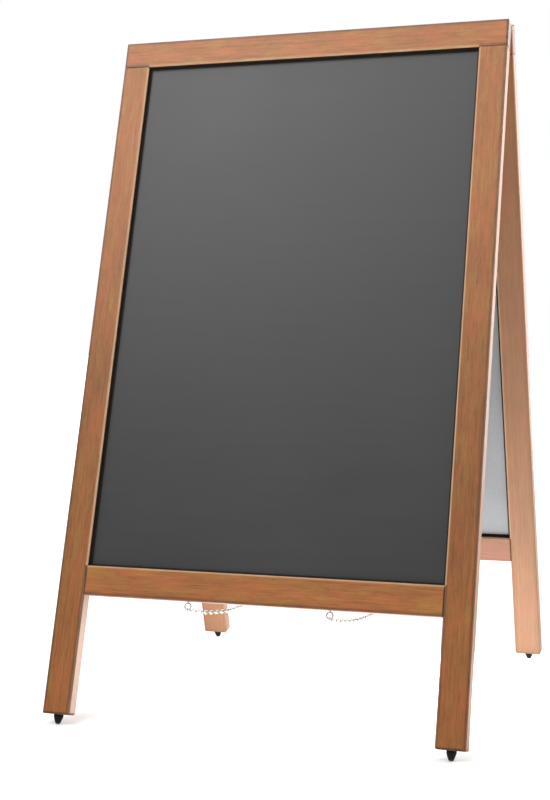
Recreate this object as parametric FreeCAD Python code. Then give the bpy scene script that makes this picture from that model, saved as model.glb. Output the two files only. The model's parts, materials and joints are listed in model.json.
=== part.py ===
"""A folding sandwich board: two framed chalk panels hinged together along their top rails.

Millimetres, +Z up. The origin is on the floor under the middle of the board. +X runs along the
hinge line, -Y is the front. Each frame is drawn flat and then leaned back: in the flat drawing
x runs across the board, depth runs from the outer face towards the other frame, and drop runs
down from the top edge. The rear frame is the front frame turned half a turn about +Z.
"""
import FreeCAD
import Part
import math
import os

# Overall sizes
BOARD_WIDTH = 700.0
FRAME_HEIGHT = 1188.0          # top edge to the end of the legs, along the frame
LEAN = math.radians(16.0)      # each frame leans this far from upright
FOLD_GAP = 3.0                 # space between the two inner faces when folded flat

# Timber
TIMBER_WIDTH = 48.0
TIMBER_DEPTH = 24.0
BOTTOM_RAIL_DROP = 946.0       # from the top edge to the bottom rail's upper edge
OUTER_EASE = 1.6               # small bevels on the outer edges
OPENING_BEVEL = 2.6            # wider bevel round the panel opening
END_EASE = 1.0

# Panel, held in a groove in the middle of the timber, with a black angle trim on each side
CHALK_SHEET = 0.8
BACK_BOARD = 2.4
GROOVE_DEPTH = 8.0
PANEL_CLEARANCE = 1.0
TRIM_WALL = 0.8                # leg of the angle that lines the timber
TRIM_FOOT = 3.8                # leg of the angle that lies on the panel
TRIM_FOOT_THICKNESS = 1.0
SMALL_GAP = 0.2

# Fasteners
DOWEL_RADIUS = 4.0
DOWEL_HALF_LENGTH = 20.0
DOWEL_OFFSET = 12.0
BRAD_RADIUS = 0.6
BRAD_LENGTH = 14.0
HOLE_CLEARANCE = 0.05

# Feet
FOOT_HEIGHT = 15.0
FOOT_RADIUS = 7.8
FOOT_COLLAR = 4.0
FOOT_TIP_RADIUS = 3.8
FOOT_TIP_ROUND = 2.5
FOOT_COLLAR_ROUND = 1.5
FOOT_PIN_RADIUS = 1.5
FOOT_PIN_INSIDE = 8.0
FOOT_PIN_LENGTH = 30.0

# Hinges on the top faces of the top rails
HINGE_SPACING = 400.0
HINGE_LENGTH = 60.0
LEAF_THICKNESS = 1.6
LEAF_START = 6.0
LEAF_CORNER = 2.0
KNUCKLE_RADIUS = 3.0
KNUCKLE_COUNT = 5
KNUCKLE_GAP = 0.3
PIN_RADIUS = 1.35
PIN_CLEARANCE = 0.05
SCREW_PITCH = 21.0
SCREW_HEAD_RADIUS = 3.1
SCREW_RADIUS = 1.6
SCREW_LENGTH = 16.0

# Screw eyes and chains
EYE_SPACING = 240.0
EYE_RING_RADIUS = 5.2
EYE_WIRE_RADIUS = 1.1
EYE_DROP = 8.0                 # bottom rail's lower edge to the ring's centre
EYE_SHANK = 16.0
LINK_WIRE_RADIUS = 0.8
LINK_BEND_RADIUS = 2.7
LINK_PITCH = 12.09
LINK_PLAY = 0.05
LINKS_FRONT_UPPER = 10
LINKS_FRONT_LOWER = 8
LINKS_REAR_LOWER = 16
LINKS_REAR_UPPER = 15

# Worked out from the sizes above
HALF_WIDTH = BOARD_WIDTH / 2
OPENING_HALF = HALF_WIDTH - TIMBER_WIDTH
STILE_CENTRE = HALF_WIDTH - TIMBER_WIDTH / 2
RAIL_BOTTOM = BOTTOM_RAIL_DROP + TIMBER_WIDTH
MID_DEPTH = TIMBER_DEPTH / 2
PANEL_FRONT = (TIMBER_DEPTH - CHALK_SHEET - BACK_BOARD) / 2
SHEET_BACK = PANEL_FRONT + CHALK_SHEET
PANEL_BACK = SHEET_BACK + BACK_BOARD
PIN_DEPTH = TIMBER_DEPTH + FOLD_GAP / 2
TOP_EDGE_OFFSET = PIN_DEPTH * math.cos(LEAN) + KNUCKLE_RADIUS * math.sin(LEAN)
FOOT_TAPER = math.atan2(FOOT_RADIUS - FOOT_TIP_RADIUS, FOOT_HEIGHT - FOOT_COLLAR)
TIP_FLAT = FOOT_TIP_RADIUS - FOOT_TIP_ROUND * math.tan(math.pi / 4 - FOOT_TAPER / 2)
TIP_SINK = FOOT_TIP_ROUND * (1 - math.cos(LEAN)) + TIP_FLAT * math.sin(LEAN)
TOP_EDGE_Z = ((FRAME_HEIGHT + FOOT_HEIGHT) * math.cos(LEAN)
              + MID_DEPTH * math.sin(LEAN) + TIP_SINK)
LINK_REACH = LINK_WIRE_RADIUS + LINK_PLAY
END_LINK_SPAN = LINK_PITCH - EYE_WIRE_RADIUS
LINK_TOTAL = LINKS_FRONT_UPPER + LINKS_FRONT_LOWER + LINKS_REAR_LOWER + LINKS_REAR_UPPER

ACROSS = FreeCAD.Vector(1, 0, 0)
INWARD = FreeCAD.Vector(0, 1, 0)
UP = FreeCAD.Vector(0, 0, 1)
ORIGIN = FreeCAD.Vector(0, 0, 0)


def flat(x, depth, drop):
    """A point of the flat drawing of a frame."""
    return FreeCAD.Vector(x, depth, -drop)


def stand(shape, rear=False):
    """Lean a flat shape back into its place, in the front frame or the rear one."""
    placed = shape.copy()
    placed.rotate(ORIGIN, ACROSS, -math.degrees(LEAN))
    placed.translate(FreeCAD.Vector(0, -TOP_EDGE_OFFSET, TOP_EDGE_Z))
    if rear:
        placed.rotate(ORIGIN, UP, 180)
    return placed


def standing_point(x, depth, drop):
    """The same move for one point of the front frame."""
    point = Part.Vertex(flat(x, depth, drop))
    return stand(point).Point


def block(x_low, x_high, depth_low, depth_high, drop_low, drop_high):
    corner = flat(x_low, depth_low, drop_high)
    return Part.makeBox(x_high - x_low, depth_high - depth_low, drop_high - drop_low, corner)


def rod(radius, length, start, direction):
    return Part.makeCylinder(radius, length, start, direction)


def bevel(shape, size, chosen):
    """Bevel the straight edges whose middle point the chosen test accepts."""
    edges = [edge for edge in shape.Edges if chosen(edge.CenterOfMass)]
    return shape.makeChamfer(size, edges)


def near(value, target):
    return abs(value - target) < 0.01


def on_face(point):
    """Whether a point is on the timber's outer or inner face."""
    return near(point.y, 0) or near(point.y, TIMBER_DEPTH)


def cut_all(shape, tools):
    return shape.cut(Part.makeCompound(tools)) if tools else shape


def turned(points):
    """A solid of revolution about the flat drawing's vertical, from (radius, drop) points."""
    corners = [flat(radius, 0, drop) for radius, drop in points]
    outline = Part.makePolygon(corners + corners[:1])
    return Part.Face(outline).revolve(ORIGIN, UP, 360)


# Timber frame

def dowel_axes():
    """Start point and direction of every dowel, at the four corners of a frame."""
    axes = []
    for side in (-1, 1):
        for step in (-DOWEL_OFFSET, DOWEL_OFFSET):
            start = flat(side * STILE_CENTRE + step, MID_DEPTH, TIMBER_WIDTH + DOWEL_HALF_LENGTH)
            axes.append((start, UP))
            drop = BOTTOM_RAIL_DROP + TIMBER_WIDTH / 2 + step
            start = flat(side * OPENING_HALF - DOWEL_HALF_LENGTH, MID_DEPTH, drop)
            axes.append((start, ACROSS))
    return axes


def dowels():
    return [bevel_ends(rod(DOWEL_RADIUS, 2 * DOWEL_HALF_LENGTH - 1, start + direction * 0.5, direction))
            for start, direction in dowel_axes()]


def bevel_ends(pin, size=0.4):
    circles = [edge for edge in pin.Edges if edge.Curve.TypeId == "Part::GeomCircle"]
    return pin.makeChamfer(size, circles)


def dowel_holes():
    return [rod(DOWEL_RADIUS + HOLE_CLEARANCE, 2 * DOWEL_HALF_LENGTH, start, direction)
            for start, direction in dowel_axes()]


def brad_axes():
    """The brads through the inner trim: four up each stile and three along each rail."""
    depth = (PANEL_BACK + TIMBER_DEPTH) / 2
    half_height = (BOTTOM_RAIL_DROP - TIMBER_WIDTH) / 2
    middle = TIMBER_WIDTH + half_height
    axes = []
    for side in (-1, 1):
        for fraction in (-0.8, -0.26, 0.26, 0.8):
            start = flat(side * (OPENING_HALF - TRIM_WALL), depth, middle + fraction * half_height)
            axes.append((start, ACROSS * side))
        for fraction in (-0.7, 0, 0.7):
            start = flat(fraction * OPENING_HALF, depth, middle - side * (half_height - TRIM_WALL))
            axes.append((start, UP * side))
    return axes


def brads():
    return [rod(BRAD_RADIUS, BRAD_LENGTH, start, direction) for start, direction in brad_axes()]


def brad_holes():
    return [rod(BRAD_RADIUS + HOLE_CLEARANCE, BRAD_LENGTH + 1.5, start - direction, direction)
            for start, direction in brad_axes()]


def groove():
    """The slot round the opening that the panel's edges sit in."""
    return block(-OPENING_HALF - GROOVE_DEPTH, OPENING_HALF + GROOVE_DEPTH, PANEL_FRONT, PANEL_BACK,
                 TIMBER_WIDTH - GROOVE_DEPTH, BOTTOM_RAIL_DROP + GROOVE_DEPTH)


def hinge_screw_axes():
    """Where the hinge screws enter the top face."""
    depth = (LEAF_START + PIN_DEPTH - KNUCKLE_RADIUS) / 2
    axes = []
    for side in (-1, 1):
        for step in (-SCREW_PITCH, 0, SCREW_PITCH):
            axes.append(flat(side * HINGE_SPACING / 2 + step, depth, -LEAF_THICKNESS))
    return axes


def hinge_screw_holes():
    return [rod(SCREW_RADIUS + HOLE_CLEARANCE, SCREW_LENGTH + 0.5, top, -UP) for top in hinge_screw_axes()]


def stile(side):
    inner = side * OPENING_HALF
    outer = side * HALF_WIDTH
    body = block(min(inner, outer), max(inner, outer), 0, TIMBER_DEPTH, TIMBER_WIDTH, FRAME_HEIGHT)
    body = bevel(body, OPENING_BEVEL, lambda p: near(p.x, inner))
    body = bevel(body, OUTER_EASE, lambda p: near(p.x, outer))
    body = bevel(body, END_EASE, lambda p: near(p.z, -TIMBER_WIDTH) and on_face(p))
    body = bevel(body, END_EASE, lambda p: near(p.z, -FRAME_HEIGHT))
    pin_hole = rod(FOOT_PIN_RADIUS + HOLE_CLEARANCE, FOOT_PIN_LENGTH - FOOT_PIN_INSIDE + 0.5,
                   flat(side * STILE_CENTRE, MID_DEPTH, FRAME_HEIGHT), UP)
    return cut_all(body, [groove(), pin_hole] + dowel_holes() + brad_holes())


def opening_bevel_tool(depth):
    """A square bar on its corner, along the top rail's lower edge, as long as the opening."""
    size = OPENING_BEVEL * math.sqrt(2)
    bar = Part.makeBox(2 * OPENING_HALF, size, size, FreeCAD.Vector(-OPENING_HALF, -size / 2, -size / 2))
    bar.rotate(ORIGIN, ACROSS, 45)
    bar.translate(flat(0, depth, TIMBER_WIDTH))
    return bar


def top_rail():
    body = block(-HALF_WIDTH, HALF_WIDTH, 0, TIMBER_DEPTH, 0, TIMBER_WIDTH)
    body = bevel(body, OUTER_EASE, lambda p: near(p.z, 0) or near(abs(p.x), HALF_WIDTH))
    body = bevel(body, END_EASE, lambda p: near(p.z, -TIMBER_WIDTH) and on_face(p))
    tools = [opening_bevel_tool(depth) for depth in (0, TIMBER_DEPTH)]
    return cut_all(body, tools + [groove()] + dowel_holes() + brad_holes() + hinge_screw_holes())


def bottom_rail():
    body = block(-OPENING_HALF, OPENING_HALF, 0, TIMBER_DEPTH, BOTTOM_RAIL_DROP, RAIL_BOTTOM)
    body = bevel(body, OPENING_BEVEL, lambda p: near(p.z, -BOTTOM_RAIL_DROP) and on_face(p))
    body = bevel(body, OUTER_EASE, lambda p: near(p.z, -RAIL_BOTTOM) and on_face(p))
    body = bevel(body, END_EASE, lambda p: near(abs(p.x), OPENING_HALF) and on_face(p))
    eyes = [rod(EYE_WIRE_RADIUS + HOLE_CLEARANCE, EYE_SHANK + 0.5, flat(x, MID_DEPTH, RAIL_BOTTOM), UP)
            for x in (-EYE_SPACING / 2, EYE_SPACING / 2)]
    return cut_all(body, [groove()] + eyes + dowel_holes() + brad_holes())


# Panel

def panel_layer(front, back):
    half = OPENING_HALF + GROOVE_DEPTH - PANEL_CLEARANCE
    return block(-half, half, front, back, TIMBER_WIDTH - GROOVE_DEPTH + PANEL_CLEARANCE,
                 BOTTOM_RAIL_DROP + GROOVE_DEPTH - PANEL_CLEARANCE)


def opening_ring(width, front, back):
    """A flat ring inside the opening, of a given width across the ring."""
    half, top, bottom = OPENING_HALF, TIMBER_WIDTH, BOTTOM_RAIL_DROP
    outside = block(-half, half, front, back, top, bottom)
    inside = block(width - half, half - width, front - 1, back + 1, top + width, bottom - width)
    return outside.cut(inside)


def mitred_quarters():
    """Four prisms that divide the opening along 45 degree lines at its corners, a little apart."""
    half, top, bottom = OPENING_HALF, TIMBER_WIDTH, BOTTOM_RAIL_DROP
    reach = 2 * TRIM_FOOT
    gap = SMALL_GAP
    quarters = []
    for side in (-1, 1):
        upright = [(side * half, top + gap), (side * (half - reach), top + reach + gap),
                   (side * (half - reach), bottom - reach - gap), (side * half, bottom - gap)]
        edge, inward = (top, 1) if side < 0 else (bottom, -1)
        cross = [(-half, edge), (half, edge), (half - reach, edge + inward * reach),
                 (reach - half, edge + inward * reach)]
        for outline in (upright, cross):
            corners = [flat(x, -1, drop) for x, drop in outline]
            face = Part.Face(Part.makePolygon(corners + corners[:1]))
            quarters.append(face.extrude(INWARD * (TIMBER_DEPTH + 2)))
    return quarters


def angle_trim(outer_side):
    """Four mitred black angle strips: one leg lines the timber, the other lies on the panel."""
    if outer_side:
        wall = opening_ring(TRIM_WALL, OPENING_BEVEL, PANEL_FRONT)
        leg = opening_ring(TRIM_FOOT, PANEL_FRONT - TRIM_FOOT_THICKNESS, PANEL_FRONT)
    else:
        wall = opening_ring(TRIM_WALL, PANEL_BACK, TIMBER_DEPTH - OPENING_BEVEL)
        leg = opening_ring(TRIM_FOOT, PANEL_BACK, PANEL_BACK + TRIM_FOOT_THICKNESS)
    ring = wall.fuse(leg).removeSplitter()
    pieces = [ring.common(quarter) for quarter in mitred_quarters()]
    return [cut_all(piece, brad_holes()).Solids[0] for piece in pieces]


# Feet

def foot(side):
    """A tapered rubber foot with a rounded tip, moulded round the end of its pin."""
    profile = [(0, 0), (FOOT_RADIUS, 0), (FOOT_RADIUS, FOOT_COLLAR), (FOOT_TIP_RADIUS, FOOT_HEIGHT),
               (0, FOOT_HEIGHT)]
    body = turned(profile)
    tip = [edge for edge in body.Edges if near(edge.BoundBox.ZMax, -FOOT_HEIGHT)
           and edge.Curve.TypeId == "Part::GeomCircle"]
    body = body.makeFillet(FOOT_TIP_ROUND, tip)
    collar = [edge for edge in body.Edges if near(edge.BoundBox.ZMin, -FOOT_COLLAR)
              and near(edge.BoundBox.ZMax, -FOOT_COLLAR)]
    body = body.makeFillet(FOOT_COLLAR_ROUND, collar)
    hole = rod(FOOT_PIN_RADIUS + HOLE_CLEARANCE, FOOT_PIN_INSIDE + 0.3, ORIGIN, -UP)
    body = body.cut(hole)
    body.translate(flat(side * STILE_CENTRE, MID_DEPTH, FRAME_HEIGHT))
    return body


def foot_pins():
    return [bevel_ends(rod(FOOT_PIN_RADIUS, FOOT_PIN_LENGTH,
                           flat(side * STILE_CENTRE, MID_DEPTH, FRAME_HEIGHT + FOOT_PIN_INSIDE), UP))
            for side in (-1, 1)]


# Hinges

def knuckle_span(index):
    length = HINGE_LENGTH / KNUCKLE_COUNT
    start = -HINGE_LENGTH / 2 + index * length
    return start + KNUCKLE_GAP / 2, length - KNUCKLE_GAP


def hinge_leaf(centre_x, knuckles):
    """A leaf lying on the top face, with its share of the knuckles curled round the pin."""
    plate_end = PIN_DEPTH - KNUCKLE_RADIUS - KNUCKLE_GAP
    leaf = block(-HINGE_LENGTH / 2, HINGE_LENGTH / 2, LEAF_START, plate_end, -LEAF_THICKNESS, 0)
    corners = [edge for edge in leaf.Edges if near(edge.BoundBox.YMax, LEAF_START)
               and near(abs(edge.CenterOfMass.x), HINGE_LENGTH / 2)
               and near(edge.CenterOfMass.z, LEAF_THICKNESS / 2)]
    leaf = leaf.makeFillet(LEAF_CORNER, corners)
    for index in knuckles:
        start, length = knuckle_span(index)
        tongue = block(start, start + length, plate_end, PIN_DEPTH, -LEAF_THICKNESS, 0)
        barrel = rod(KNUCKLE_RADIUS, length, flat(start, PIN_DEPTH, -KNUCKLE_RADIUS), ACROSS)
        leaf = leaf.fuse([tongue, barrel])
    leaf = leaf.removeSplitter()
    bore = rod(PIN_RADIUS + PIN_CLEARANCE, HINGE_LENGTH + 2,
               flat(-HINGE_LENGTH / 2 - 1, PIN_DEPTH, -KNUCKLE_RADIUS), ACROSS)
    leaf = leaf.cut(bore)
    leaf.translate(flat(centre_x, 0, 0))
    seats = [screw_head(top, HOLE_CLEARANCE) for top in hinge_screw_axes()]
    return cut_all(leaf, seats + hinge_screw_holes())


def screw_head(top, margin=0.0):
    """The cone of a countersunk head, flush with the leaf."""
    return Part.makeCone(SCREW_HEAD_RADIUS + margin, SCREW_RADIUS + margin, LEAF_THICKNESS, top, -UP)


def hinge_screw(top):
    """A countersunk wood screw with a cross recess and a pointed end."""
    tip_length = 3.0
    straight = SCREW_LENGTH - LEAF_THICKNESS - tip_length
    neck = top - UP * LEAF_THICKNESS
    body = screw_head(top).fuse([rod(SCREW_RADIUS, straight, neck, -UP),
                                 Part.makeCone(SCREW_RADIUS, 0.2, tip_length, neck - UP * straight, -UP)])
    recess_width = 0.7
    recess_length = 3.2
    slots = []
    for x_size, y_size in ((recess_length, recess_width), (recess_width, recess_length)):
        corner = top - FreeCAD.Vector(x_size / 2, y_size / 2, 1.0)
        slots.append(Part.makeBox(x_size, y_size, 2.0, corner))
    return body.removeSplitter().cut(Part.makeCompound(slots))


def hinge_pin(centre_x):
    start = standing_point(centre_x - HINGE_LENGTH / 2 - 0.5, PIN_DEPTH, -KNUCKLE_RADIUS)
    return bevel_ends(rod(PIN_RADIUS, HINGE_LENGTH + 1, start, ACROSS))


# Screw eyes and chains

def screw_eye(centre_x):
    """A wire ring with a straight shank that screws up into the bottom rail."""
    centre = flat(centre_x, MID_DEPTH, RAIL_BOTTOM + EYE_DROP)
    ring = Part.makeTorus(EYE_RING_RADIUS, EYE_WIRE_RADIUS, centre, INWARD)
    shank_start = centre + UP * EYE_RING_RADIUS
    shank = rod(EYE_WIRE_RADIUS, EYE_DROP - EYE_RING_RADIUS + EYE_SHANK, shank_start, UP)
    return ring.fuse(shank)


def catenary_point(half_span, scale, arc):
    """A point of the hanging curve, arc measured from its lowest point, heights from its ends."""
    across = scale * math.asinh(arc / scale)
    height = scale * (math.cosh(across / scale) - math.cosh(half_span / scale))
    return across, height


def chain_points(x):
    """The points between neighbouring links of a slack chain, from the front eye to the rear one."""
    end = standing_point(x, MID_DEPTH, RAIL_BOTTOM + EYE_DROP + EYE_RING_RADIUS)
    half_span = -end.y
    length = LINK_PITCH * (LINK_TOTAL - 2) + 2 * END_LINK_SPAN
    low, high = half_span / 3, half_span * 300
    for _ in range(100):
        scale = math.sqrt(low * high)
        if 2 * scale * math.sinh(half_span / scale) > length:
            low = scale
        else:
            high = scale
    arcs = [0.0]
    for index in range(LINK_TOTAL):
        arcs.append(arcs[-1] + (END_LINK_SPAN if index in (0, LINK_TOTAL - 1) else LINK_PITCH))
    points = []
    for arc in arcs:
        across, height = catenary_point(half_span, scale, arc - length / 2)
        points.append(FreeCAD.Vector(x, across, end.z + height))
    return points


def link(start, end, upright):
    """A welded oval link of round wire, its bend centres one bend radius in from start and end."""
    along = (end - start).normalize()
    normal = ACROSS if upright else ACROSS.cross(along)
    side = normal.cross(along)
    first = start + along * LINK_BEND_RADIUS
    second = end - along * LINK_BEND_RADIUS
    rim = side * LINK_BEND_RADIUS
    path = Part.Wire([
        Part.LineSegment(first + rim, second + rim).toShape(),
        Part.Arc(second + rim, end, second - rim).toShape(),
        Part.LineSegment(second - rim, first - rim).toShape(),
        Part.Arc(first - rim, start, first + rim).toShape()])
    section = Part.Wire([Part.makeCircle(LINK_WIRE_RADIUS, first + rim, along)])
    return path.makePipeShell([section], True, False)


def chain(x):
    """All the links of one chain, each turned a quarter turn from its neighbours."""
    points = chain_points(x)
    links = []
    for index in range(LINK_TOTAL):
        first, last = points[index], points[index + 1]
        along = (last - first).normalize()
        front_reach = EYE_WIRE_RADIUS + LINK_REACH if index == 0 else LINK_REACH
        rear_reach = EYE_WIRE_RADIUS + LINK_REACH if index == LINK_TOTAL - 1 else LINK_REACH
        links.append(link(first - along * front_reach, last + along * rear_reach, index % 2 == 0))
    return links


def chain_parts(name, x):
    """The chain's links, shared out between the stretches that swing as the board folds."""
    links = chain(x)
    counts = {"front_upper": LINKS_FRONT_UPPER, "front_lower": LINKS_FRONT_LOWER,
              "rear_lower": LINKS_REAR_LOWER, "rear_upper": LINKS_REAR_UPPER}
    parts = {}
    taken = 0
    for stretch, count in counts.items():
        parts[name + "_chain_" + stretch] = links[taken:taken + count]
        taken += count
    return parts


# Assembly

def frame_parts(name, rear):
    """Every piece of one frame, leaned into its place."""
    flip = -1 if rear else 1
    front_knuckles = [index for index in range(KNUCKLE_COUNT) if index % 2 == 0]
    rear_knuckles = [index for index in range(KNUCKLE_COUNT) if index % 2 == 1]
    knuckles = rear_knuckles if rear else front_knuckles
    parts = {
        name + "_top_rail": [top_rail()],
        name + "_bottom_rail": [bottom_rail()],
        name + "_dowels": dowels(),
        name + "_chalk_sheet": [panel_layer(PANEL_FRONT, SHEET_BACK)],
        name + "_back_board": [panel_layer(SHEET_BACK, PANEL_BACK)],
        name + "_outer_trim": angle_trim(outer_side=True),
        name + "_inner_trim": angle_trim(outer_side=False),
        name + "_trim_brads": brads(),
        name + "_foot_pins": foot_pins(),
        name + "_hinge_screws": [hinge_screw(top) for top in hinge_screw_axes()],
    }
    for side, word in ((-1, "left"), (1, "right")):
        turn = side * flip
        parts[name + "_" + word + "_stile"] = [stile(turn)]
        parts[name + "_" + word + "_foot"] = [foot(turn)]
        parts[name + "_" + word + "_screw_eye"] = [screw_eye(turn * EYE_SPACING / 2)]
        parts[word + "_hinge_" + name + "_leaf"] = [hinge_leaf(turn * HINGE_SPACING / 2, knuckles)]
    return {node: [stand(solid, rear) for solid in solids] for node, solids in parts.items()}


def all_parts():
    parts = {}
    parts.update(frame_parts("front", rear=False))
    parts.update(frame_parts("rear", rear=True))
    for side, word in ((-1, "left"), (1, "right")):
        parts[word + "_hinge_pin"] = [hinge_pin(side * HINGE_SPACING / 2)]
        parts.update(chain_parts(word, side * EYE_SPACING / 2))
    return parts


def main():
    os.makedirs("parts", exist_ok=True)
    for node, solids in all_parts().items():
        shape = solids[0] if len(solids) == 1 else Part.makeCompound(solids)
        shape.exportStep("parts/" + node + ".step")


main()
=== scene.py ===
"""The looks of a folding A-board: two stained timber frames, each holding a chalk panel.

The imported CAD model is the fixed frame. Lengths are metres, or millimetres where a name says MM.
"""

import json
import math

import bpy
from mathutils import Matrix, Vector

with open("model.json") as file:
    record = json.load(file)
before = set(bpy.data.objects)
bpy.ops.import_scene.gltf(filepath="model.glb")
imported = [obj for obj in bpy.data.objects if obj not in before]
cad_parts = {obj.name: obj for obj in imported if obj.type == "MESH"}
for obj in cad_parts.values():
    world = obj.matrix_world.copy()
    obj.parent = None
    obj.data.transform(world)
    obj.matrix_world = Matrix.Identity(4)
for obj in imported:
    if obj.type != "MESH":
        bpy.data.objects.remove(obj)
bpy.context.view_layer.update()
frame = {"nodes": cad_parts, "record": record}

# The camera stands in front of the board, to its right, at about half its height.
CAMERA_PLACE = (0.7811, -2.3739, 0.6394)
CAMERA_TURN = math.radians(17.676)
CAMERA_DIP = math.radians(1.661)
CAMERA_LENS_MM = 63.38
CAMERA_SENSOR_MM = 36.0
CAMERA_SHIFT = (-0.0663, -0.0363)

# The room's light from in front and from behind, how far round to the back it is full, and the
# light as the camera sees it.
ROOM_FRONT = 0.16
ROOM_BACK = 1.7
ROOM_BACK_FROM = 0.8
ROOM_SEEN = 1.0

# Each softbox: its place, what it points at, its two sides and its power in watts.
SOFTBOXES = {
    "left_softbox": ((-1.9, -2.4, 3.4), (0.0, 0.0, 0.7), (2.0, 2.0), 60),
    "high_softbox": ((-0.7, -2.2, 4.6), (0.0, 0.0, 0.7), (2.4, 1.6), 50),
    "wide_softbox": ((-1.0, -3.0, 3.5), (0.0, 0.0, 0.7), (3.2, 2.2), 34),
    "top_softbox": ((0.0, 0.3, 4.0), (0.0, 0.0, 0.5), (2.0, 2.0), 24),
    "right_softbox": ((3.6, 0.2, 1.6), (0.0, 0.0, 0.5), (2.0, 2.0), 75),
    "back_softbox": ((1.0, 4.2, 1.1), (0.2, 0.0, 0.6), (3.0, 2.2), 60),
}

# The floor glows: gently all over, fully far away, and most on a light table under the board,
# whose brightness rises from its front rim to its back one.
FLOOR_GLOW = 0.18
FAR_GLOW = 1.0
FAR_START, FAR_END = 1.6, 4.5
TABLE_GLOW = 2.65
TABLE_MIDDLE, TABLE_HALF_WIDTH = 0.09, 0.38
TABLE_SIDE_RIM = 0.14
TABLE_FRONT, TABLE_FULL, TABLE_BACK = -0.36, 0.10, 0.33
TABLE_RIM = 0.06

FLOOR_SIZE = 60.0
FLOOR_DARK = (0.86, 0.86, 0.86, 1.0)
FLOOR_LIGHT = (0.90, 0.90, 0.90, 1.0)
FLOOR_CLOUDS_PER_METRE = 1.3
FLOOR_ROUGHNESS = (0.6, 0.7)
WHITE = (1.0, 1.0, 1.0, 1.0)
MM = 1000.0
NOISE_LOW, NOISE_HIGH = 0.3, 0.7    # the range that soft noise mostly keeps to


# ---------------------------------------------------------------- node graphs


class Graph:
    """One material's nodes, with a short call for each kind of node."""

    def __init__(self, name):
        self.material = bpy.data.materials.new(name)
        self.material.use_nodes = True
        self.tree = self.material.node_tree
        self.tree.nodes.clear()
        self.shader = self.tree.nodes.new("ShaderNodeBsdfPrincipled")
        output = self.tree.nodes.new("ShaderNodeOutputMaterial")
        self.tree.links.new(self.shader.outputs["BSDF"], output.inputs["Surface"])

    def feed(self, socket, value):
        if isinstance(value, bpy.types.NodeSocket):
            self.tree.links.new(value, socket)
        else:
            socket.default_value = value

    def add(self, kind, inputs, **settings):
        node = self.tree.nodes.new("ShaderNode" + kind)
        for key, value in settings.items():
            setattr(node, key, value)
        for key, value in inputs.items():
            self.feed(node.inputs[key], value)
        return node

    def math(self, operation, first, second=0.0, third=0.0):
        return self.add("Math", {0: first, 1: second, 2: third}, operation=operation).outputs[0]

    def object_point(self):
        return self.add("TexCoord", {}).outputs["Object"]

    def point_mm(self):
        return self.placed(self.object_point(), scale=(MM, MM, MM))

    def object_normal(self):
        return self.add("TexCoord", {}).outputs["Normal"]

    def placed(self, vector, location=(0, 0, 0), rotation=(0, 0, 0), scale=(1, 1, 1)):
        inputs = {"Vector": vector, "Location": location, "Rotation": rotation, "Scale": scale}
        return self.add("Mapping", inputs).outputs["Vector"]

    def parts(self, vector):
        return self.add("SeparateXYZ", {"Vector": vector}).outputs

    def joined(self, x, y, z):
        return self.add("CombineXYZ", {"X": x, "Y": y, "Z": z}).outputs["Vector"]

    def celled(self, point, sizes):
        """The point in cells of these three sizes, for a noise of that size."""
        return self.placed(point, scale=tuple(1 / size for size in sizes))

    def noise(self, vector, detail=2.0, roughness=0.5):
        inputs = {"Vector": vector, "Scale": 1.0, "Detail": detail, "Roughness": roughness}
        return self.add("TexNoise", inputs).outputs[0]

    def noise_line(self, position, detail, roughness):
        inputs = {"W": position, "Scale": 1.0, "Detail": detail, "Roughness": roughness}
        return self.add("TexNoise", inputs, noise_dimensions="1D").outputs[0]

    def step(self, value, low, high, start=0.0, end=1.0):
        """Smoothly from start to end as value goes from low to high."""
        inputs = {"Value": value, "From Min": low, "From Max": high, "To Min": start, "To Max": end}
        return self.add("MapRange", inputs, interpolation_type="SMOOTHSTEP").outputs["Result"]

    def spread(self, value, low, high, start=0.0, end=1.0):
        """Evenly from start to end as value goes from low to high."""
        inputs = {"Value": value, "From Min": low, "From Max": high, "To Min": start, "To Max": end}
        return self.add("MapRange", inputs).outputs["Result"]

    def cloud(self, vector, detail=2.0, roughness=0.5, start=0.0, end=1.0):
        """Soft noise from start to end."""
        noise = self.noise(vector, detail, roughness)
        return self.spread(noise, NOISE_LOW, NOISE_HIGH, start, end)

    def mix(self, factor, first, second, blend="MIX"):
        inputs = {0: factor, 6: first, 7: second}
        return self.add("Mix", inputs, data_type="RGBA", blend_type=blend).outputs[2]

    def darkened(self, colour, share):
        """The colour times a share that varies over the surface."""
        return self.mix(1.0, colour, self.joined(share, share, share), blend="MULTIPLY")

    def toned(self, colour, mask, tone):
        """The colour, times tone where the mask is full."""
        return self.darkened(colour, self.spread(mask, 0.0, 1.0, 1.0, tone))

    def bump(self, height, distance, strength=0.5):
        inputs = {"Height": height, "Distance": distance, "Strength": strength}
        return self.add("Bump", inputs).outputs["Normal"]

    def finish(self, colour, roughness, normal=None, **constants):
        self.feed(self.shader.inputs["Base Color"], colour)
        self.feed(self.shader.inputs["Roughness"], roughness)
        if normal is not None:
            self.feed(self.shader.inputs["Normal"], normal)
        for key, value in constants.items():
            socket = key.replace("_", " ").title().replace("Ior", "IOR")
            self.shader.inputs[socket].default_value = value
        return self.material


# ---------------------------------------------------------------- the two leaning boards


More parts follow.
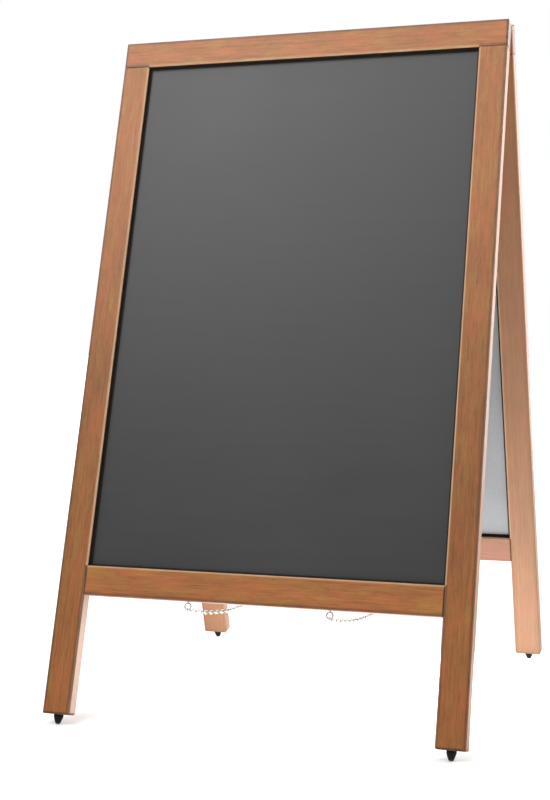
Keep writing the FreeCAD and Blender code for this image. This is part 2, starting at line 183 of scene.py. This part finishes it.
class Board:
    """One leaning frame, with its own axes: x across, y into the board, z up its slope, in mm.

    The origin is on the outer face, at the middle of the top rail.
    """

    def __init__(self, side):
        mount = next(m for m in frame["record"]["mounts"] if m["name"] == side + "_top_rail_face")
        outward = Vector(mount["axis"])
        facing = -1.0 if outward.y > 0 else 1.0
        self.scale = (facing * MM, facing * MM, MM)
        self.rotation = (math.asin(outward.z), 0.0, 0.0)
        turned = Matrix.Rotation(self.rotation[0], 4, "X") @ Matrix.Diagonal((*self.scale, 1.0))
        self.origin = turned @ Vector(mount["pos_m"])
        self.matrix = Matrix.Translation(-self.origin) @ turned
        self.opening_middle, self.opening_half = self.box(side + "_outer_trim")

    def box(self, node):
        """The middle and the half sizes of a CAD node in the board's axes."""
        points = [self.matrix @ vertex.co for vertex in frame["nodes"][node].data.vertices]
        low = Vector([min(p[axis] for p in points) for axis in range(3)])
        high = Vector([max(p[axis] for p in points) for axis in range(3)])
        return (low + high) / 2, (high - low) / 2

    def point(self, graph, middle=(0, 0, 0)):
        """The shaded point in the board's axes, measured from middle, as a node output."""
        place = -self.origin - Vector(middle)
        return graph.placed(graph.object_point(), tuple(place), self.rotation, self.scale)

    def normal(self, graph):
        flip = self.scale[0] / MM
        return graph.placed(graph.object_normal(), (0, 0, 0), self.rotation, (flip, flip, 1.0))


# ---------------------------------------------------------------- timber

WOOD_DARK = (0.165, 0.050, 0.011, 1.0)
WOOD_LIGHT = (0.470, 0.176, 0.043, 1.0)
WOOD_RED = (0.425, 0.112, 0.036, 1.0)
WOOD_OLIVE = (0.350, 0.165, 0.030, 1.0)
# painted highlight along the edges beside the opening
OPENING_HIGHLIGHT_COLOUR = (0.740, 0.500, 0.310, 1.0)
# painted shade along the outer edges, free ends and joints
EDGE_SHADE_COLOUR = (0.040, 0.020, 0.012, 1.0)
# painted light on the faces that look into the board
INSIDE_LIGHT_COLOUR = (0.520, 0.320, 0.210, 1.0)
RAIL_INSIDE_LIGHT_COLOUR = (0.373, 0.223, 0.210, 1.0)
# painted highlight on a stile's side towards the opening
SIDE_HIGHLIGHT_COLOUR = (0.780, 0.560, 0.460, 1.0)

# Each pattern in the grain: its cells' length along the member and width across it.
WANDER_CELLS_MM = (520, 60)
FIGURE_CELLS_MM = (46, 3.0)
FIBRE_CELLS_MM = (30, 0.9)
PORE_CELLS_MM = (10, 0.5)
VESSEL_CELLS_MM = (34, 1.7)
WARMTH_CELLS_MM = (62, 15)
BLOTCH_CELLS_MM = (90, 26)
# the patches in the painted edge shade and painted highlight
EDGE_PATCH_CELLS_MM = (30, 6)

# The noise between which a pattern goes from nothing to full.
WANDER_RANGE = (0.25, 0.75)
RING_RANGE = (0.22, 0.78)
FIGURE_RANGE = (0.28, 0.72)
PORE_RANGE = (0.60, 0.72)
VESSEL_RANGE = (0.60, 0.70)
RED_RANGE = (0.49, 0.64)
OLIVE_RANGE = (0.51, 0.36)

# Growth rings: their width, how far they wander, and where the pith lies, which changes by member.
RING_MM = 4.2
WANDER_MM = 7.0
PITH_ACROSS_MM, PITH_ACROSS_STEP_MM = 95, 17
PITH_THROUGH_MM, PITH_THROUGH_STEP_MM = 25, 11
SEED_SHIFT = 37.0
FIRST_SEED = {"front": 1, "rear": 6}

# How much each pattern counts, and what the dark ones leave of the colour.
RING_SHARE, FIGURE_SHARE, FIBRE_SHARE = 0.35, 0.45, 0.20
TINT_SHARE = 0.45
PORE_TONE, VESSEL_TONE, END_GRAIN_TONE = 0.62, 0.74, 0.6
BLOTCH_LOW, BLOTCH_HIGH = 0.90, 1.12

# A stile's tone: all over; painted light at its top, and painted shade in a stretch below its
# middle.
STILE_STAIN = 0.88
STILE_TOP_LIGHT, STILE_LOW_SHADE = 1.08, 0.86
TOP_LIGHT_FADE_MM = (150, 560)
LOW_SHADE_BELOW_MM = 140.0
LOW_SHADE_FADE_MM = (300, 90)
# How much painted light the faces that look into the board get, and how much painted highlight a
# stile's side towards the opening gets on each board.
INSIDE_LIGHT_SHARE = 0.35
SIDE_HIGHLIGHT_SHARE = {"front": 0.62, "rear": 0.2}

# How squarely a point faces each way, from not at all to fully.
OUTER_FACING = (0.3, -0.3)
INNER_FACING = (0.5, 0.9)
SIDE_FACING = (0.6, 0.9)
WIDE_FACING = (0.3, 0.9)
END_FACING = (0.7, 0.95)

# Depths in from an edge, a joint or an end between which its painted shade or painted highlight
# goes from nothing to full.
EDGE_SHADE_MM = (7.0, 2.0)
JOINT_SHADE_MM = (1.8, 0.8)
END_SHADE_MM = (5.0, 2.0)
HIGHLIGHT_EDGE_MM = (4.2, 1.0)
LONG_EDGE_SHARE = 0.7
EDGE_SHADE_SHARE = 0.85
HIGHLIGHT_SHARE = 0.6
EDGE_PATCH_LOW, EDGE_PATCH_HIGH = 0.7, 1.2

# The strip beside the opening: how deep in from the edge it starts, and how soft its ends are.
OPENING_EDGE_MM = (8, 5)
OPENING_END_MM = 0.8

# Less painted edge shade on the narrow faces, and close to the face that looks into the board.
NARROW_FACE_SHARE = 0.25
INNER_FACE_SHARE = 0.3
INNER_FACE_MM = (4, 9)

LACQUER = 0.2
LACQUER_ROUGHNESS = 0.42
WOOD_ROUGHNESS = (0.42, 0.54)
WOOD_SPECULAR = 0.35
FIBRE_HEIGHT = 0.35
GRAIN_DEPTH, GRAIN_STRENGTH = 0.00012, 0.6


class Timber:
    """One member's stained, straight-grained hardwood under a satin lacquer.

    Places are in mm from the member's middle: along the grain, across it on the wide face, and
    through it towards the inside of the board.
    """

    def __init__(self, board, node, seed):
        middle, half = board.box(node)
        self.graph = graph = Graph("stained_" + node)
        x, y, z = graph.parts(board.point(graph, middle))
        self.board, self.node, self.seed = board, node, seed
        self.is_rail = half.x > half.z
        self.along, self.across, self.through = (x, z, y) if self.is_rail else (z, x, y)
        self.half_along, self.half_across = (half.x, half.z) if self.is_rail else (half.z, half.x)
        self.half_through = half.y
        self.facing = graph.parts(board.normal(graph))
        self.to_opening = board.opening_middle - middle
        self.shift = SEED_SHIFT * seed

    def cells(self, size):
        """Grain space, with cells of that length along the member and that width across it."""
        length, width = size
        return self.graph.joined(
            self.graph.math("MULTIPLY_ADD", self.along, 1 / length, self.shift),
            self.graph.math("MULTIPLY_ADD", self.across, 1 / width, self.shift),
            self.graph.math("MULTIPLY", self.through, 1 / width),
        )

    def rings(self):
        """Growth rings about a pith well to one side, so the wide face shows straight grain."""
        graph = self.graph
        side = 1 if self.seed % 2 else -1
        pith_across = side * (PITH_ACROSS_MM + PITH_ACROSS_STEP_MM * (self.seed % 3))
        pith_through = PITH_THROUGH_MM - PITH_THROUGH_STEP_MM * (self.seed % 4)
        bend = graph.noise(self.cells(WANDER_CELLS_MM), 1.0)
        wander = graph.spread(bend, *WANDER_RANGE, -WANDER_MM, WANDER_MM)
        offset = graph.joined(
            graph.math("SUBTRACT", self.across, pith_across),
            graph.math("SUBTRACT", self.through, pith_through),
            0.0,
        )
        radius = graph.add("VectorMath", {0: offset}, operation="LENGTH").outputs["Value"]
        radius = graph.math("ADD", radius, wander)
        place = graph.math("MULTIPLY_ADD", radius, 1 / RING_MM, self.shift)
        return graph.spread(graph.noise_line(place, 3.0, 0.6), *RING_RANGE)

    def grown(self, fibre, pores):
        """The colour of the stained grain."""
        graph = self.graph
        figure = graph.spread(graph.noise(self.cells(FIGURE_CELLS_MM), 3.0, 0.6), *FIGURE_RANGE)
        vessels = graph.step(graph.noise(self.cells(VESSEL_CELLS_MM), 2.0), *VESSEL_RANGE)
        warmth = graph.noise(self.cells(WARMTH_CELLS_MM), 3.0, 0.6)
        stain = 1.0 if self.is_rail else STILE_STAIN
        blotch = graph.cloud(
            self.cells(BLOTCH_CELLS_MM), start=BLOTCH_LOW * stain, end=BLOTCH_HIGH * stain
        )
        body = graph.math("MULTIPLY", self.rings(), RING_SHARE)
        body = graph.math("MULTIPLY_ADD", fibre, FIBRE_SHARE, body)
        body = graph.math("MULTIPLY_ADD", figure, FIGURE_SHARE, body)
        colour = graph.mix(body, WOOD_DARK, WOOD_LIGHT)
        colour = graph.mix(graph.step(warmth, *RED_RANGE, 0.0, TINT_SHARE), colour, WOOD_RED)
        colour = graph.mix(graph.step(warmth, *OLIVE_RANGE, 0.0, TINT_SHARE), colour, WOOD_OLIVE)
        colour = graph.darkened(colour, blotch)
        colour = graph.toned(colour, pores, PORE_TONE)
        return graph.toned(colour, vessels, VESSEL_TONE)

    def stained(self, colour):
        """The colour with painted light and shade over whole faces: a stile's outer face, the faces
        that look into the board, and a stile's side towards the opening.
        """
        graph = self.graph
        if not self.is_rail:
            # painted shade below the middle on the outer face, and painted light at the top
            from_low = graph.math("ADD", self.along, LOW_SHADE_BELOW_MM)
            low = graph.step(graph.math("ABSOLUTE", from_low), *LOW_SHADE_FADE_MM)
            low = graph.math("MULTIPLY", low, graph.step(self.facing[1], *OUTER_FACING))
            colour = graph.toned(colour, low, STILE_LOW_SHADE)
            colour = graph.darkened(colour, graph.step(self.along, *TOP_LIGHT_FADE_MM, 1.0, STILE_TOP_LIGHT))

        # painted light on the face that looks into the board, and a painted highlight on a stile's
        # side towards the opening
        inside = graph.step(self.facing[1], *INNER_FACING, 0.0, INSIDE_LIGHT_SHARE)
        colour = graph.mix(inside, colour, RAIL_INSIDE_LIGHT_COLOUR if self.is_rail else INSIDE_LIGHT_COLOUR)
        if not self.is_rail:
            inward = math.copysign(1.0, self.to_opening.x)
            inner_side = graph.math("MULTIPLY", self.facing[0], inward)
            share = SIDE_HIGHLIGHT_SHARE[self.node.split("_")[0]]
            pale = graph.step(inner_side, *SIDE_FACING, 0.0, share)
            colour = graph.mix(pale, colour, SIDE_HIGHLIGHT_COLOUR)
        return colour

    def depth_in(self, place, half_size):
        return self.graph.math("SUBTRACT", half_size, self.graph.math("ABSOLUTE", place))

    def opening_side(self):
        """One on the strip beside the panel's opening, and nothing elsewhere."""
        graph, board = self.graph, self.board
        if self.is_rail:
            inward, reach, centre = self.to_opening.z, board.opening_half.x, 0.0
        else:
            inward, reach, centre = self.to_opening.x, board.opening_half.z, self.to_opening.z
        beside = graph.math("ABSOLUTE", graph.math("SUBTRACT", self.along, centre))
        towards = graph.math("MULTIPLY", self.across, math.copysign(1.0, inward))
        strip = [self.half_across - depth for depth in OPENING_EDGE_MM]
        return graph.math(
            "MULTIPLY",
            graph.step(towards, *strip),
            graph.step(beside, reach + OPENING_END_MM, reach - OPENING_END_MM),
        )

    def edge_light_and_shade(self, colour):
        """The colour with a painted highlight along the edges beside the opening, and painted shade
        along the other edges, ends and joints.
        """
        # a point that is near two of the member's faces is on an edge
        graph = self.graph
        deep_along = self.depth_in(self.along, self.half_along)
        deep_free_end = deep_along
        if not self.is_rail:
            deep_free_end = graph.math("ADD", self.along, self.half_along)
        deep_across = self.depth_in(self.across, self.half_across)
        deep_through = self.depth_in(self.through, self.half_through)
        long_edge = graph.math("MAXIMUM", deep_across, deep_through)
        near_a_face = graph.math("MINIMUM", deep_across, deep_through)
        joint_edge = graph.math("MAXIMUM", deep_along, near_a_face)
        free_edge = graph.math("MAXIMUM", deep_free_end, near_a_face)

        opening = self.opening_side()
        wide_face = graph.math("ABSOLUTE", self.facing[1])
        # painted shade: dark lines along the outer edges, free ends and joints, where the arrises
        # and joint gaps fall in shade
        dark = graph.math(
            "MULTIPLY",
            graph.step(long_edge, *EDGE_SHADE_MM, 0.0, LONG_EDGE_SHARE),
            graph.step(wide_face, *WIDE_FACING, NARROW_FACE_SHARE, 1.0),
        )
        dark = graph.math("MAXIMUM", dark, graph.step(joint_edge, *JOINT_SHADE_MM))
        if not self.node.endswith("bottom_rail"):
            dark = graph.math("MAXIMUM", dark, graph.step(free_edge, *END_SHADE_MM))
        dark = graph.math("MULTIPLY", dark, graph.math("SUBTRACT", 1.0, opening))
        inner_face = [self.half_through - depth for depth in INNER_FACE_MM]
        outward = graph.step(self.through, *inner_face, INNER_FACE_SHARE, 1.0)
        dark = graph.math("MULTIPLY", dark, outward)

        edge_patches = graph.cloud(self.cells(EDGE_PATCH_CELLS_MM), 3.0, start=EDGE_PATCH_LOW, end=EDGE_PATCH_HIGH)
        # painted highlight on the edges beside the opening, where the bevels catch the light
        edge_highlight = graph.math("MULTIPLY", graph.step(long_edge, *HIGHLIGHT_EDGE_MM), opening)
        for mask, share, edge_colour in (
            (dark, EDGE_SHADE_SHARE, EDGE_SHADE_COLOUR),
            (edge_highlight, HIGHLIGHT_SHARE, OPENING_HIGHLIGHT_COLOUR),
        ):
            mask = graph.math("MULTIPLY", graph.math("MULTIPLY", mask, edge_patches), share)
            colour = graph.mix(mask, colour, edge_colour)
        return colour

    def material(self):
        graph = self.graph
        fibre = graph.cloud(self.cells(FIBRE_CELLS_MM), 3.0, 0.6)
        pores = graph.step(graph.noise(self.cells(PORE_CELLS_MM), 1.0), *PORE_RANGE)
        colour = self.edge_light_and_shade(self.stained(self.grown(fibre, pores)))
        end_face = graph.math("ABSOLUTE", self.facing[0 if self.is_rail else 2])
        colour = graph.toned(colour, graph.step(end_face, *END_FACING), END_GRAIN_TONE)
        rough = graph.spread(fibre, 0.0, 1.0, *WOOD_ROUGHNESS)
        height = graph.math("SUBTRACT", graph.math("MULTIPLY", fibre, FIBRE_HEIGHT), pores)
        return graph.finish(
            colour, rough, graph.bump(height, GRAIN_DEPTH, GRAIN_STRENGTH),
            specular_ior_level=WOOD_SPECULAR,
            coat_weight=LACQUER, coat_roughness=LACQUER_ROUGHNESS,
        )


# ---------------------------------------------------------------- panels, trim and fittings

SLATE_DARK = (0.0275, 0.0277, 0.0277, 1.0)
SLATE_LIGHT = (0.0355, 0.0357, 0.0357, 1.0)
CHALK_DUST = (0.055, 0.055, 0.053, 1.0)
HAZE_CELLS_MM = (190, 1, 240)
WIPED_CELLS_MM = (160, 1, 14)
HAZE_SHARE, WIPED_SHARE = 0.6, 0.4
GRIT_CELLS_MM = (0.7, 1, 0.7)
GRIT_RANGE, GRIT_SHARE = (0.58, 0.72), 0.3
GRIT_DEPTH = 0.00008
SLATE_ROUGHNESS = (0.42, 0.48)
SLATE_SPECULAR = 0.43

BACKING_DARK = (0.285, 0.294, 0.307, 1.0)
BACKING_LIGHT = (0.350, 0.359, 0.370, 1.0)
BACKING_CLOUD_CELLS_MM = (120, 1, 160)
BACKING_FIBRE_CELLS_MM = (1.5, 1, 4.0)
BACKING_FIBRE_TONES = (0.93, 1.05)
BACKING_ROUGHNESS = (0.26, 0.36)
BACKING_DEPTH = 0.00005

TRIM_DARK = (0.018, 0.011, 0.007, 1.0)
TRIM_LIGHT = (0.030, 0.018, 0.012, 1.0)
TRIM_MOTTLE_CELLS_MM = (9, 9, 9)
TRIM_GRAIN_PER_MM = 1.6
TRIM_DEPTH = 0.00004
TRIM_ROUGHNESS = (0.42, 0.56)
TRIM_SPECULAR = 0.2

RUBBER_DARK = (0.003, 0.003, 0.004, 1.0)
RUBBER_LIGHT = (0.008, 0.008, 0.009, 1.0)
FLOOR_DUST = (0.16, 0.15, 0.14, 1.0)
RUBBER_GRAIN_PER_MM = 2.2
RUBBER_SCUFF_PER_MM = 0.45
RUBBER_DEPTH, RUBBER_STRENGTH = 0.0001, 0.6
RUBBER_ROUGHNESS = (0.50, 0.68)
RUBBER_SPECULAR = 0.15
SCUFF_RANGE = (0.4, 0.7)
DUST_HEIGHT_MM = (7.0, 0.5)
DUST_SHARE = 0.5

METAL_FILM = (0.36, 0.30, 0.22, 1.0)
FILM_RANGE, FILM_SHARE, FILM_ROUGHNESS = (0.5, 0.68), 0.35, 0.1
FILM_SPANGLES = 3    # the spangles that a patch of film is long
SCRATCHES_PER_MM = (0.5, 6.0, 6.0)
SCRATCH_DEPTH = 0.00002

# Each metal's slot: its material, dark and light colours, two roughnesses, and spangle size in mm.
METALS = {
    "steel": ("zinc_screw", (0.42, 0.41, 0.39, 1.0), (0.60, 0.59, 0.57, 1.0), 0.28, 0.42, 4.0),
    "bright_steel": (
        "bright_wire", (0.48, 0.46, 0.43, 1.0), (0.68, 0.67, 0.64, 1.0), 0.18, 0.30, 5.0
    ),
    "chain": ("chain_wire", (0.48, 0.46, 0.42, 1.0), (0.70, 0.68, 0.64, 1.0), 0.20, 0.32, 5.0),
    "hinge_metal": (
        "zinc_sheet", (0.44, 0.43, 0.40, 1.0), (0.64, 0.63, 0.60, 1.0), 0.26, 0.40, 7.0
    ),
}

BEECH_DARK = (0.40, 0.25, 0.13, 1.0)
BEECH_LIGHT = (0.62, 0.43, 0.25, 1.0)
BEECH_FIBRE_PER_MM = (1 / 12, 1.4, 1.4)
BEECH_FLECK_PER_MM = (1 / 2, 3.0, 3.0)
FLECK_RANGE, FLECK_TONE = (0.62, 0.72), 0.75
BEECH_ROUGHNESS = (0.5, 0.65)
BEECH_DEPTH = 0.00008


def chalk_material(board):
    """Matt slate-grey writing surface with a faint haze of old chalk."""
    graph = Graph("chalk_surface")
    point = board.point(graph)
    haze = graph.cloud(graph.celled(point, HAZE_CELLS_MM), 3.0)
    wiped = graph.cloud(graph.celled(point, WIPED_CELLS_MM), 3.0)
    grit = graph.noise(graph.celled(point, GRIT_CELLS_MM))
    cloud = graph.math("MULTIPLY", wiped, WIPED_SHARE)
    cloud = graph.math("MULTIPLY_ADD", haze, HAZE_SHARE, cloud)
    colour = graph.mix(cloud, SLATE_DARK, SLATE_LIGHT)
    colour = graph.mix(graph.step(grit, *GRIT_RANGE, 0.0, GRIT_SHARE), colour, CHALK_DUST)
    rough = graph.spread(cloud, 0.0, 1.0, *SLATE_ROUGHNESS)
    normal = graph.bump(grit, GRIT_DEPTH)
    return graph.finish(colour, rough, normal, specular_ior_level=SLATE_SPECULAR)


def backing_material(board):
    """Pale blue-grey hardboard with a smooth sealed face."""
    graph = Graph("backing_board")
    point = board.point(graph)
    cloud = graph.cloud(graph.celled(point, BACKING_CLOUD_CELLS_MM), 3.0)
    fibres = graph.noise(graph.celled(point, BACKING_FIBRE_CELLS_MM), 4.0, 0.7)
    colour = graph.mix(cloud, BACKING_DARK, BACKING_LIGHT)
    tone = graph.spread(fibres, NOISE_LOW, NOISE_HIGH, *BACKING_FIBRE_TONES)
    rough = graph.spread(fibres, NOISE_LOW, NOISE_HIGH, *BACKING_ROUGHNESS)
    return graph.finish(graph.darkened(colour, tone), rough, graph.bump(fibres, BACKING_DEPTH))


def trim_material():
    """Brown-black strip with a dull, faintly mottled skin."""
    graph = Graph("trim_black")
    point = graph.point_mm()
    mottle = graph.cloud(graph.celled(point, TRIM_MOTTLE_CELLS_MM), 3.0)
    grain = graph.noise(graph.placed(point, scale=(TRIM_GRAIN_PER_MM,) * 3))
    colour = graph.mix(mottle, TRIM_DARK, TRIM_LIGHT)
    rough = graph.spread(mottle, 0.0, 1.0, *TRIM_ROUGHNESS)
    normal = graph.bump(grain, TRIM_DEPTH)
    return graph.finish(colour, rough, normal, specular_ior_level=TRIM_SPECULAR)


def rubber_material():
    """Black moulded rubber, dusty towards the floor."""
    graph = Graph("rubber_black")
    point = graph.point_mm()
    grain = graph.noise(graph.placed(point, scale=(RUBBER_GRAIN_PER_MM,) * 3), 3.0)
    scuff = graph.noise(graph.placed(point, scale=(RUBBER_SCUFF_PER_MM,) * 3), 4.0, 0.65)
    near_floor = graph.step(graph.parts(point)[2], *DUST_HEIGHT_MM)
    dust = graph.math("MULTIPLY", near_floor, graph.spread(scuff, *SCUFF_RANGE))
    colour = graph.mix(graph.spread(grain, NOISE_LOW, NOISE_HIGH), RUBBER_DARK, RUBBER_LIGHT)
    colour = graph.mix(graph.math("MULTIPLY", dust, DUST_SHARE), colour, FLOOR_DUST)
    rough = graph.spread(grain, NOISE_LOW, NOISE_HIGH, *RUBBER_ROUGHNESS)
    normal = graph.bump(grain, RUBBER_DEPTH, RUBBER_STRENGTH)
    return graph.finish(colour, rough, normal, specular_ior_level=RUBBER_SPECULAR)


def metal_material(name, dark, light, smooth, rough, cell_mm):
    """Zinc-plated metal: soft spangle, finer scratches and a duller, browner film in places."""
    graph = Graph(name)
    point = graph.point_mm()
    share = 1 / cell_mm
    spangle = graph.cloud(graph.placed(point, scale=(share,) * 3), 3.0, 0.6)
    film = graph.noise(graph.placed(point, scale=(share / FILM_SPANGLES,) * 3), 3.0)
    film = graph.step(film, *FILM_RANGE)
    scratches = graph.noise(graph.placed(point, scale=SCRATCHES_PER_MM), 3.0, 0.6)
    colour = graph.mix(spangle, dark, light)
    colour = graph.mix(graph.math("MULTIPLY", film, FILM_SHARE), colour, METAL_FILM)
    roughness = graph.spread(spangle, 0.0, 1.0, smooth, rough)
    roughness = graph.math("ADD", roughness, graph.math("MULTIPLY", film, FILM_ROUGHNESS))
    normal = graph.bump(scratches, SCRATCH_DEPTH)
    return graph.finish(colour, roughness, normal, metallic=1.0)


def dowel_material():
    """Plain unstained beech, with its grain along the peg."""
    graph = Graph("beech_dowel")
    point = graph.point_mm()
    fibre = graph.cloud(graph.placed(point, scale=BEECH_FIBRE_PER_MM), 4.0)
    fleck = graph.noise(graph.placed(point, scale=BEECH_FLECK_PER_MM), 1.0)
    colour = graph.mix(fibre, BEECH_DARK, BEECH_LIGHT)
    colour = graph.toned(colour, graph.step(fleck, *FLECK_RANGE), FLECK_TONE)
    rough = graph.spread(fibre, 0.0, 1.0, *BEECH_ROUGHNESS)
    return graph.finish(colour, rough, graph.bump(fibre, BEECH_DEPTH))


def dress():
    """Gives every CAD node its material."""
    for side in ("front", "rear"):
        board = Board(side)
        timbers = ("left_stile", "right_stile", "top_rail", "bottom_rail")
        for seed, part in enumerate(timbers, FIRST_SEED[side]):
            node = f"{side}_{part}"
            put(node, Timber(board, node, seed).material())
        put(side + "_chalk_sheet", chalk_material(board))
        put(side + "_back_board", backing_material(board))

    shared = {
        "black_trim": trim_material(),
        "rubber": rubber_material(),
        "dowel": dowel_material(),
    }
    for slot, finish in METALS.items():
        shared[slot] = metal_material(*finish)
    for node in frame["nodes"].values():
        slot = node.data.materials[0].name
        if slot in shared:
            put(node.name, shared[slot])


def put(node, material):
    frame["nodes"][node].material_slots[0].material = material


# ---------------------------------------------------------------- studio


def floor():
    """A wide pale floor, with its light table under the board."""
    bpy.ops.mesh.primitive_plane_add(size=FLOOR_SIZE)
    plane = bpy.context.object
    plane.name = "floor"
    graph = Graph("pale_floor")
    point = graph.object_point()
    cloud = graph.cloud(graph.placed(point, scale=(FLOOR_CLOUDS_PER_METRE,) * 3), 3.0)
    colour = graph.mix(cloud, FLOOR_DARK, FLOOR_LIGHT)
    across, along, _ = graph.parts(point)
    sideways = graph.math("ABSOLUTE", graph.math("SUBTRACT", across, TABLE_MIDDLE))
    sides = graph.step(
        sideways, TABLE_HALF_WIDTH + TABLE_SIDE_RIM, TABLE_HALF_WIDTH - TABLE_SIDE_RIM
    )
    ends = graph.math(
        "MULTIPLY",
        graph.step(along, TABLE_FRONT, TABLE_FULL),
        graph.step(along, TABLE_BACK + TABLE_RIM, TABLE_BACK - TABLE_RIM),
    )
    away = graph.add("VectorMath", {0: point}, operation="LENGTH").outputs["Value"]
    glow = graph.math(
        "MULTIPLY_ADD",
        graph.math("MULTIPLY", sides, ends),
        TABLE_GLOW,
        graph.step(away, FAR_START, FAR_END, FLOOR_GLOW, FAR_GLOW),
    )
    graph.feed(graph.shader.inputs["Emission Strength"], glow)
    rough = graph.spread(cloud, 0.0, 1.0, *FLOOR_ROUGHNESS)
    plane.data.materials.append(graph.finish(colour, rough, emission_color=WHITE))


def area_light(name, place, aim, size, power):
    data = bpy.data.lights.new(name, "AREA")
    data.shape = "RECTANGLE"
    data.size, data.size_y = size
    data.energy = power
    lamp = bpy.data.objects.new(name, data)
    lamp.location = place
    lamp.rotation_euler = (Vector(aim) - Vector(place)).to_track_quat("-Z", "Y").to_euler()
    lamp.visible_camera = False
    bpy.context.scene.collection.objects.link(lamp)


def surroundings():
    """A white room that lights the board more from behind than from in front."""
    world = bpy.data.worlds.new("white_room")
    world.use_nodes = True
    bpy.context.scene.world = world
    nodes, links = world.node_tree.nodes, world.node_tree.links
    background = nodes["Background"]
    background.inputs["Color"].default_value = WHITE

    parts = nodes.new("ShaderNodeSeparateXYZ")
    links.new(nodes.new("ShaderNodeTexCoord").outputs["Generated"], parts.inputs["Vector"])
    lighting = nodes.new("ShaderNodeMapRange")
    lighting.interpolation_type = "SMOOTHSTEP"
    lighting.inputs["From Min"].default_value = 0.0
    lighting.inputs["From Max"].default_value = ROOM_BACK_FROM
    lighting.inputs["To Min"].default_value = ROOM_FRONT
    lighting.inputs["To Max"].default_value = ROOM_BACK
    links.new(parts.outputs["Y"], lighting.inputs["Value"])

    seen = nodes.new("ShaderNodeLightPath").outputs["Is Camera Ray"]
    strength = nodes.new("ShaderNodeMix")
    links.new(seen, strength.inputs["Factor"])
    links.new(lighting.outputs["Result"], strength.inputs["A"])
    strength.inputs["B"].default_value = ROOM_SEEN
    links.new(strength.outputs["Result"], background.inputs["Strength"])


def lights():
    for name, (place, aim, size, power) in SOFTBOXES.items():
        area_light(name, place, aim, size, power)


def camera():
    data = bpy.data.cameras.new("camera")
    data.sensor_width = CAMERA_SENSOR_MM
    data.lens = CAMERA_LENS_MM
    data.shift_x, data.shift_y = CAMERA_SHIFT
    data.clip_end = 2 * FLOOR_SIZE
    eye = bpy.data.objects.new("camera", data)
    eye.location = CAMERA_PLACE
    eye.rotation_euler = (math.pi / 2 - CAMERA_DIP, 0.0, CAMERA_TURN)
    bpy.context.scene.collection.objects.link(eye)
    bpy.context.scene.camera = eye
    bpy.context.scene.view_settings.view_transform = "Standard"


camera()
floor()
surroundings()
lights()
dress()
